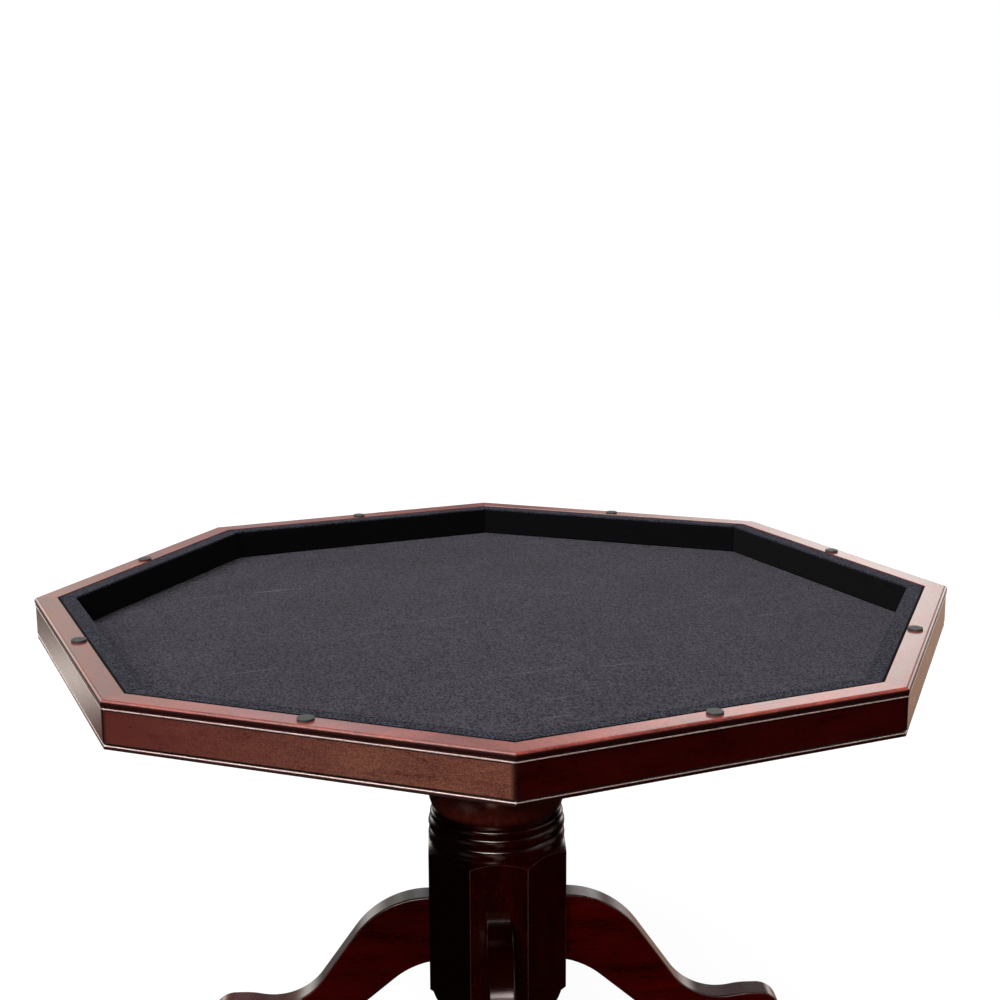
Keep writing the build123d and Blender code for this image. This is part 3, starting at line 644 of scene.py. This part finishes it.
def felt_wrap(side, material):
    """The sheet of felt wrapped over one liner board, from foot to foot."""
    shares, insets = stations(2 * LINER_INNER * CORNER_SLOPE)
    vertices, faces = [], []
    count = len(liner_outline(0))
    for share, inset in zip(shares, insets):
        outer = liner_outline(inset)
        inner = liner_outline(FELT_SKIN)
        for i, (x, z) in enumerate(outer):
            on_back = i > count * BACK_SHARE
            lift = 0.0 if on_back or i == 0 else slack(x, share, z, side)
            if i < count * WALL_SHARE:
                outer[i, 0] = x - lift
            else:
                outer[i, 1] = z + lift
        vertices += board_points(side, outer, share) + board_points(side, inner[::-1], share)
    ring = 2 * count
    for station in range(len(shares) - 1):
        base = station * ring
        for i in range(ring):
            j = (i + 1) % ring
            faces.append((base + i, base + j, base + ring + j, base + ring + i))
    last = (len(shares) - 1) * ring
    for i in range(count - 1):
        mirror = ring - 1 - i
        faces.append((i, mirror, mirror - 1, i + 1))
        faces.append((last + i, last + i + 1, last + mirror - 1, last + mirror))
    return add_piece(f"felt_wrap_{side}", vertices, faces, material)


def liner_core(side, material):
    """The wooden liner board inside its felt."""
    outline = liner_outline(FELT_SKIN + CORE_GAP)
    vertices = board_points(side, outline, CORE_END) + board_points(side, outline, 1 - CORE_END)
    count = len(outline)
    faces = [(i, (i + 1) % count, (i + 1) % count + count, i + count) for i in range(count)]
    faces += [tuple(range(count))[::-1], tuple(range(count, 2 * count))]
    return add_piece(f"liner_core_{side}", vertices, faces, material, smooth=False)


def face_outward(piece):
    """Turns all faces outward."""
    mesh = bmesh.new()
    mesh.from_mesh(piece.data)
    bmesh.ops.recalc_face_normals(mesh, faces=mesh.faces)
    mesh.to_mesh(piece.data)
    mesh.free()


CORE_WOOD = wood("liner_board_wood", BARE_WOOD, "X", seed=60, mottle=0.3, gloss=0.6, coat=0.0)
for side in range(1, SIDES + 1):
    material = felt(f"liner_felt_{side}", LINER_LIGHT, side_angle(side), side, on_table=False)
    wrap = felt_wrap(side, material)
    core = liner_core(side, CORE_WOOD)
    for piece in (wrap, core):
        face_outward(piece)
        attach(piece, "table")
    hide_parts(f"felt_rail_{side}")


CLOTH_CELLS = 150               # across the grid that the octagon is cut from
CLOTH_MARGIN = 0.2 * MM         # how far the cloth stays inside the CAD's, at its edge and top
CLOTH_THINNER = 0.6 * MM        # and how much thinner it is, so that no wave reaches the deck
CLOTH_WAVE, CLOTH_RIPPLE = 0.25 * MM, 0.10 * MM


def play_cloth(material):
    """The well's cloth: an octagon cut from one sheet, glued flat, with slight unevenness."""
    mesh = bmesh.new()
    corner = CLOTH_FACE / math.cos(SIDE_TURN / 2)
    bmesh.ops.create_grid(mesh, x_segments=CLOTH_CELLS, y_segments=CLOTH_CELLS, size=corner)
    for side in range(1, SIDES + 1):
        normal = facing(side)
        geometry = mesh.verts[:] + mesh.edges[:] + mesh.faces[:]
        cut = normal * (CLOTH_FACE - CLOTH_MARGIN)
        bmesh.ops.bisect_plane(mesh, geom=geometry, plane_co=cut, plane_no=normal, clear_outer=True)
    for vertex in mesh.verts:
        slow = noise.noise(vertex.co * 6) * CLOTH_WAVE
        fine = noise.noise(vertex.co * 38) * CLOTH_RIPPLE
        vertex.co.z = FELT_TOP - CLOTH_MARGIN + slow + fine
    piece = drawn_piece("playing_cloth", mesh, material)
    thick = piece.modifiers.new("thickness", "SOLIDIFY")
    thick.thickness = FELT_TOP - DECK_TOP - CLOTH_THINNER
    thick.offset = -1
    return piece


cloth = play_cloth(felt("playing_felt", FELT_LIGHT))
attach(cloth, "table")
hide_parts("play_cloth")


# ---- rest pads and feet ------------------------------------------------------------------------
def rubber(name, colour, speck, rough):
    """Matt rubber or nylon with a fine grain."""
    s = Shader(name)
    place = s.local()
    grain = s.noise(s.scaled(place, 900), 3, 0.6)
    cloud = s.noise(s.scaled(place, 160), 2, 0.5)
    tone = s.mix(s.span(grain, 0.35, 0.70), colour, speck)
    tone = s.mix(s.span(cloud, 0.4, 0.7, 0.0, 0.3), tone, speck)
    return s.finish(
        Base_Color=tone, Roughness=s.span(cloud, 0.3, 0.7, rough - 0.06, rough + 0.06),
        Normal=s.bump(grain, 0.08 * MM, 0.8), Specular_IOR_Level=0.35,
    )


PAD_RUBBER = rubber("pad_rubber", rgb(0.016, 0.017, 0.016), rgb(0.046, 0.048, 0.046), rough=0.55)
paint([f"rest_pad_{side}" for side in range(1, SIDES + 1)], PAD_RUBBER)
FOOT_NYLON = rubber("foot_nylon", rgb(0.012, 0.012, 0.013), rgb(0.030, 0.030, 0.032), rough=0.45)
paint([f"leveller_foot_{name}" for name in LEG_ANGLES], FOOT_NYLON)


# ---- metal -------------------------------------------------------------------------------------
def metal(name, colour, stain, rough):
    """Plated metal: cloudy, stained plating and fine scratches."""
    s = Shader(name)
    place = s.local()
    cloud = s.noise(s.scaled(place, 220), 4, 0.6)
    scratches = s.noise(s.stretched(place, (180, 2600, 2600)), 2, 0.6)
    tone = s.mix(s.span(cloud, 0.42, 0.72, 0.0, 0.8), colour, stain)
    return s.finish(
        Base_Color=tone, Metallic=1.0, Roughness=s.span(cloud, 0.35, 0.70, rough, rough + 0.18),
        Normal=s.bump(scratches, 0.01 * MM, 0.8),
    )


ZINC = metal("zinc_plate", rgb(0.62, 0.63, 0.65), rgb(0.42, 0.42, 0.43), rough=0.26)
YELLOW_ZINC = metal("yellow_zinc", rgb(0.66, 0.52, 0.24), rgb(0.46, 0.36, 0.20), rough=0.30)
BRASS = metal("insert_metal", rgb(0.72, 0.52, 0.22), rgb(0.50, 0.35, 0.15), rough=0.30)
paint(["lag_bolts", "lag_washers", "leg_bolts", "leg_washers", "leveller_nuts"], ZINC)
paint(["leg_inserts"], BRASS)


def placed(vertices, origin):
    """Moves a part drawn about the Z axis to its place."""
    return [Vector(v) + origin for v in vertices]


def tube_faces(rows, around):
    """Faces of a closed tube whose vertices run around it, row after row."""
    faces = []
    for row in range(rows - 1):
        for step in range(around):
            a, b = row * around + step, row * around + (step + 1) % around
            faces.append((a, b, b + around, a + around))
    faces.append(tuple(range(around))[::-1])
    faces.append(tuple(range((rows - 1) * around, rows * around)))
    return faces


def helix_rod(radius, depth, pitch, low, high, around=20, per_pitch=6):
    """Threaded rod about Z between two heights, with its ends closed."""
    rows = int((high - low) / pitch * per_pitch) + 1
    vertices = []
    for row in range(rows):
        z = low + (high - low) * row / (rows - 1)
        fade = min(1.0, (z - low) / pitch, (high - z) / pitch)
        for step in range(around):
            angle = 2 * math.pi * step / around
            phase = (z / pitch - step / around) % 1.0
            ridge = abs(2 * phase - 1)
            r = radius - depth * (1 - ridge * fade)
            vertices.append((r * math.cos(angle), r * math.sin(angle), z))
    return vertices, tube_faces(rows, around)


def joined(*parts):
    """One list of vertices and one of faces from several (vertices, faces) pairs."""
    vertices, faces = [], []
    for points, polygons in parts:
        start = len(vertices)
        vertices += list(points)
        faces += [tuple(i + start for i in polygon) for polygon in polygons]
    return vertices, faces


def lathed(profile, around=24):
    """Closed solid of revolution from (radius, height) points; six steps around make a hexagon."""
    vertices = []
    for radius, height in profile:
        for step in range(around):
            angle = 2 * math.pi * step / around
            vertices.append((radius * math.cos(angle), radius * math.sin(angle), height))
    return vertices, tube_faces(len(profile), around)


M8_RADIUS = 4.0 * MM
M8_PITCH = 1.25 * MM
M8_DEPTH = 0.65 * MM
THREAD_SLACK = 0.02 * MM
HEX_SIDES = 6
HEX_ROUND = 0.5 * MM
PIN_CHAMFER = 0.5 * MM
OVERLAP = 0.1 * MM          # how far joined parts of one fastener run into each other


def levelling_stud(name):
    """Threaded stud with a spanner hexagon and a plain lower pin."""
    low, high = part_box(f"leveller_stud_{name}")
    axis = Vector(((low.x + high.x) / 2, (low.y + high.y) / 2, 0))
    points = points_of(f"leveller_stud_{name}")
    away = np.hypot(points[:, 0] - axis.x, points[:, 1] - axis.y)
    hexagon = points[away > 1.2 * M8_RADIUS]
    hex_low, hex_high, hex_radius = hexagon[:, 2].min(), hexagon[:, 2].max(), away.max()
    rod = helix_rod(M8_RADIUS - THREAD_SLACK, M8_DEPTH, M8_PITCH, hex_high - OVERLAP, high.z)
    nut = lathed(
        [
            (hex_radius - HEX_ROUND, hex_low),
            (hex_radius, hex_low + HEX_ROUND),
            (hex_radius, hex_high - HEX_ROUND),
            (hex_radius - HEX_ROUND, hex_high),
        ],
        HEX_SIDES,
    )
    pin = lathed(
        [
            (M8_RADIUS - PIN_CHAMFER, low.z),
            (M8_RADIUS, low.z + PIN_CHAMFER),
            (M8_RADIUS, hex_low + OVERLAP),
        ]
    )
    vertices, faces = joined(rod, nut, pin)
    piece = add_piece(f"stud_{name}", placed(vertices, axis), faces, ZINC, smooth=False)
    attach(piece, f"stud_{name}")
    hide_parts(f"leveller_stud_{name}")


for name in LEG_ANGLES:
    levelling_stud(name)


# ---- wood screws -------------------------------------------------------------------------------
HEAD_RADIUS = 4.4 * MM
HEAD_HEIGHT = 2.8 * MM
SHANK = 2.2 * MM
CROSS_ARM = 2.3 * MM
CROSS_HALF = 0.55 * MM
CROSS_DEPTH = 1.7 * MM
DEEP_ARM, DEEP_HALF = CROSS_ARM * 0.55, CROSS_HALF * 0.8    # the recess narrows to this
THREAD_DEPTH = 0.5 * MM
THREAD_PITCH = 2.0 * MM
POINT_LENGTH = 6 * MM
POINT_RADIUS = 0.3 * MM
HEAD_STEPS, SHANK_STEPS = 24, 12        # steps around
SPIN = 1.1                              # turn from one screw to the next


def cross_outline(arm, half, height):
    """Twelve corners of a plus sign."""
    corners = []
    for quarter in range(4):
        turn = Matrix.Rotation(quarter * math.pi / 2, 3, "Z")
        for x, y in ((arm, -half), (arm, half), (half, half)):
            corners.append(tuple(turn @ Vector((x, y, height))))
    return corners


def circle_points(mesh, radius, height):
    """New vertices around a level circle."""
    angles = np.linspace(0, 2 * math.pi, HEAD_STEPS, endpoint=False)
    return [mesh.verts.new((radius * math.cos(a), radius * math.sin(a), height)) for a in angles]


def bridge(mesh, first, second):
    """Faces between two loops with as many vertices."""
    for i in range(len(first)):
        j = (i + 1) % len(first)
        mesh.faces.new((first[i], first[j], second[j], second[i]))


def screw_shape(length):
    """Countersunk screw pointing up, its face at height 0, with a cross recess and a thread."""
    mesh = bmesh.new()
    circle = circle_points(mesh, HEAD_RADIUS, 0)
    cross = [mesh.verts.new(c) for c in cross_outline(CROSS_ARM, CROSS_HALF, 0)]
    deep = [mesh.verts.new(c) for c in cross_outline(DEEP_ARM, DEEP_HALF, CROSS_DEPTH)]
    rims = []
    for loop in (circle, cross):
        rims += [mesh.edges.new((loop[i], loop[(i + 1) % len(loop)])) for i in range(len(loop))]
    bmesh.ops.triangle_fill(mesh, edges=rims, use_beauty=True)
    bridge(mesh, cross, deep)
    mesh.faces.new(deep)
    lower = circle_points(mesh, SHANK, HEAD_HEIGHT)
    bridge(mesh, circle, lower)
    mesh.faces.new(lower)
    mesh.verts.index_update()
    head = ([tuple(v.co) for v in mesh.verts], [tuple(v.index for v in f.verts) for f in mesh.faces])
    mesh.free()
    rod_end = length - POINT_LENGTH
    rod_start = HEAD_HEIGHT - OVERLAP
    rod = helix_rod(SHANK, THREAD_DEPTH, THREAD_PITCH, rod_start, rod_end, SHANK_STEPS, per_pitch=5)
    tip = lathed([(SHANK - THREAD_DEPTH, rod_end - OVERLAP), (POINT_RADIUS, length)], SHANK_STEPS)
    return joined(head, rod, tip)


def solid_boxes(node):
    """The lowest and highest corners of a node's separate solids."""
    mesh = bmesh.new()
    mesh.from_mesh(nodes[node].data)
    bmesh.ops.remove_doubles(mesh, verts=mesh.verts[:], dist=0.001 * MM)
    found, left = [], set(mesh.verts)
    while left:
        island, queue = [], [left.pop()]
        while queue:
            vertex = queue.pop()
            island.append(vertex.co.copy())
            for edge in vertex.link_edges:
                other = edge.other_vert(vertex)
                if other in left:
                    left.remove(other)
                    queue.append(other)
        low = Vector(map(min, zip(*island)))
        high = Vector(map(max, zip(*island)))
        found.append((low, high))
    mesh.free()
    return sorted(found, key=lambda pair: tuple(pair[0]))


def screws(node):
    """Replaces a group of plain screws by ones with cross recesses, each turned differently."""
    parts = []
    for index, (low, high) in enumerate(solid_boxes(node)):
        vertices, faces = screw_shape(high.z - low.z)
        spin = Matrix.Rotation(index * SPIN, 3, "Z")
        axis = Vector(((low.x + high.x) / 2, (low.y + high.y) / 2, low.z))
        parts.append(([spin @ Vector(v) + axis for v in vertices], faces))
    vertices, faces = joined(*parts)
    piece = add_piece(f"cross_{node}", vertices, faces, YELLOW_ZINC, smooth=False)
    face_outward(piece)
    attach(piece, "table")
    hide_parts(node)


for node in ("deck_screws", "beam_screws", "plate_screws"):
    screws(node)


# ---- studio ------------------------------------------------------------------------------------
def sky(azimuth, elevation):
    """Unit vector to a place in the sky. Azimuth is from +Y towards +X; both are in degrees."""
    a, e = math.radians(azimuth), math.radians(elevation)
    return Vector((math.sin(a) * math.cos(e), math.cos(a) * math.cos(e), math.sin(e)))


def worked(tree, last, steps):
    """A value after a row of sums, each with a number or another value."""
    for operation, second in steps:
        step = tree.nodes.new("ShaderNodeMath")
        step.operation = operation
        tree.links.new(last, step.inputs[0])
        if isinstance(second, bpy.types.NodeSocket):
            tree.links.new(second, step.inputs[1])
        else:
            step.inputs[1].default_value = second
        last = step.outputs[0]
    return last


def lobe(tree, direction, azimuth, elevation, spread, strength):
    """A soft bright patch of sky. The angles are in degrees."""
    dot = tree.nodes.new("ShaderNodeVectorMath")
    dot.operation = "DOT_PRODUCT"
    tree.links.new(direction, dot.inputs[0])
    dot.inputs[1].default_value = sky(azimuth, elevation)
    sharpness = 1 / (1 - math.cos(math.radians(spread)))
    steps = [("SUBTRACT", 1.0), ("MULTIPLY", sharpness), ("EXPONENT", 0.0), ("MULTIPLY", strength)]
    return worked(tree, dot.outputs["Value"], steps)


def strip(tree, direction, azimuth, elevation, width, thickness, strength):
    """A lobe that is flattened to a thin, level strip."""
    glow = lobe(tree, direction, azimuth, elevation, width, strength)
    parts = tree.nodes.new("ShaderNodeSeparateXYZ")
    tree.links.new(direction, parts.inputs[0])
    level, half = math.radians(elevation), math.radians(thickness)
    steps = [("SUBTRACT", math.sin(level)), ("DIVIDE", half * math.cos(level))]
    offset = worked(tree, parts.outputs["Z"], steps)
    flattened = [("MULTIPLY", offset), ("MULTIPLY", -1.0), ("EXPONENT", 0.0), ("MULTIPLY", glow)]
    return worked(tree, offset, flattened)


AMBIENT = 0.004
WHITE = (1.0, 1.0, 1.0)
# Each patch shows as a reflection in the surfaces named beside it, as seen by the camera.
PATCHES = [
    # azimuth, elevation, spread, strength, colour
    (27, -16, 8, 0.45, (1.0, 0.62, 0.44)),          # apron 2
    (-30, -14, 4, 0.15, (1.0, 0.90, 0.80)),         # apron 7, far end
    (-31, -17, 1.4, 1.9, (1.0, 0.92, 0.84)),        # apron 7
    (26, -3, 8, 0.52, (1.0, 0.78, 0.76)),           # right leg's slope
    (-24, -2, 8, 0.76, WHITE),                      # left leg's slope
    (17, 14, 5, 2.7, (1.0, 0.99, 0.95)),            # rims 2 and 3
    (-16, 16, 5, 1.3, (1.0, 0.98, 0.86)),           # rims 6 and 7
    (-34, 8, 9, 2.6, (1.0, 0.94, 0.86)),            # nose of rim 7
    (36, 5, 8, 2.6, (1.0, 0.94, 0.90)),             # nose of rim 2
    (-6, 20, 5, 1.5, (1.0, 0.98, 1.0)),             # rim 8
    (10, 18, 5, 2.6, (1.0, 0.95, 0.91)),            # rim 1
    (176, 46, 3, 24.0, (1.0, 0.82, 0.80)),          # front leg's slope
    (-129, -20, 13, 0.22, WHITE),                   # apron 8
    (-171, -3, 8, 1.5, (1.0, 0.55, 0.38)),          # belly
    (80, 10, 10, 0.35, (1.0, 0.85, 0.75)),          # right side of the rings
    (105, 35, 20, 1.0, WHITE),                      # nose of rim 1
    (0, 55, 20, 1.2, WHITE),                        # fill, from above and behind
]
# The highlights on the column's rings: azimuth, elevation, width, thickness and strength.
STRIP = (-166, 25, 14, 1.8, 50.0)
STRIP_COLOUR = (1.0, 0.94, 0.86)


def studio_light():
    """World light that the object sees: bright behind and at the sides, dark in front."""
    world = bpy.data.worlds.new("studio")
    bpy.context.scene.world = world
    world.use_nodes = True
    tree = world.node_tree
    direction = tree.nodes.new("ShaderNodeTexCoord").outputs["Generated"]
    glows = [(lobe(tree, direction, *place), colour) for *place, colour in PATCHES]
    glows.append((strip(tree, direction, *STRIP), STRIP_COLOUR))
    total = None
    for glow, colour in glows:
        add = tree.nodes.new("ShaderNodeVectorMath")
        add.operation = "MULTIPLY_ADD"
        tree.links.new(glow, add.inputs[0])
        add.inputs[1].default_value = colour
        if total is None:
            add.inputs[2].default_value = (AMBIENT, AMBIENT, AMBIENT)
        else:
            tree.links.new(total, add.inputs[2])
        total = add.outputs["Vector"]
    tree.links.new(total, tree.nodes["Background"].inputs["Color"])


def distant_light(name, azimuth, elevation, width, strength):
    """A far, soft lamp. The angles are in degrees."""
    data = bpy.data.lights.new(name, "SUN")
    data.energy = strength
    data.angle = math.radians(width)
    lamp = bpy.data.objects.new(name, data)
    lamp.rotation_mode = "QUATERNION"
    lamp.rotation_quaternion = sky(azimuth, elevation).to_track_quat("Z", "Y")
    bpy.context.scene.collection.objects.link(lamp)


studio_light()
distant_light("key", azimuth=-118, elevation=60, width=36, strength=5.0)
distant_light("overhead", azimuth=0, elevation=90, width=38, strength=1.2)


def only_for_camera(piece):
    """The stage is seen, but neither lights the object nor shows in its gloss."""
    piece.visible_diffuse = False
    piece.visible_glossy = False
    piece.visible_transmission = False
    piece.visible_shadow = False


def stage_material(name, glow, colour):
    """Pale floor or backdrop: partly lit by the lamps, partly bright by itself."""
    material = bpy.data.materials.new(name)
    material.use_nodes = True
    surface = material.node_tree.nodes["Principled BSDF"]
    surface.inputs["Base Color"].default_value = rgb(colour, colour, colour)
    surface.inputs["Roughness"].default_value = 1.0
    surface.inputs["Specular IOR Level"].default_value = 0.0
    surface.inputs["Emission Color"].default_value = rgb(1, 1, 1)
    surface.inputs["Emission Strength"].default_value = glow
    return material


STAGE = 14.0        # half the floor's width and the backdrop's radius


def build_stage():
    """A white floor, and a white sphere around everything."""
    corners = [Vector((x, y, 0)) * STAGE for x, y in ((-1, -1), (1, -1), (1, 1), (-1, 1))]
    paper = stage_material("floor_paper", glow=0.96, colour=0.08)
    floor = add_piece("floor", corners, [(0, 1, 2, 3)], paper, smooth=False)
    mesh = bmesh.new()
    bmesh.ops.create_uvsphere(mesh, u_segments=48, v_segments=24, radius=STAGE)
    glowing = stage_material("backdrop_paper", glow=1.0, colour=0.0)
    backdrop = drawn_piece("backdrop", mesh, glowing, smooth=False)
    for piece in (floor, backdrop):
        only_for_camera(piece)


build_stage()


# ---- camera ------------------------------------------------------------------------------------
EYE = Vector((-0.0673, -2.1824, 1.2672))
LENS = 56.035           # millimetres, on a sensor 36 mm wide
SENSOR = 36.0
YAW, PITCH, ROLL = (math.radians(x) for x in (1.96, 11.246, 0.2495))


def aim_camera():
    """A level, slightly rolled view from the front, just above the table."""
    level = math.cos(PITCH)
    forward = Vector((level * math.sin(YAW), level * math.cos(YAW), -math.sin(PITCH)))
    right = Vector((math.cos(YAW), -math.sin(YAW), 0))
    down = forward.cross(right)
    rolled_right = right * math.cos(ROLL) + down * math.sin(ROLL)
    rolled_down = down * math.cos(ROLL) - right * math.sin(ROLL)
    data = bpy.data.cameras.new("camera")
    data.lens = LENS
    data.sensor_width = SENSOR
    camera = bpy.data.objects.new("camera", data)
    axes = Matrix((rolled_right, -rolled_down, -forward)).transposed().to_4x4()
    camera.matrix_world = Matrix.Translation(EYE) @ axes
    bpy.context.scene.collection.objects.link(camera)
    bpy.context.scene.camera = camera


aim_camera()
bpy.context.scene.view_settings.view_transform = "Standard"
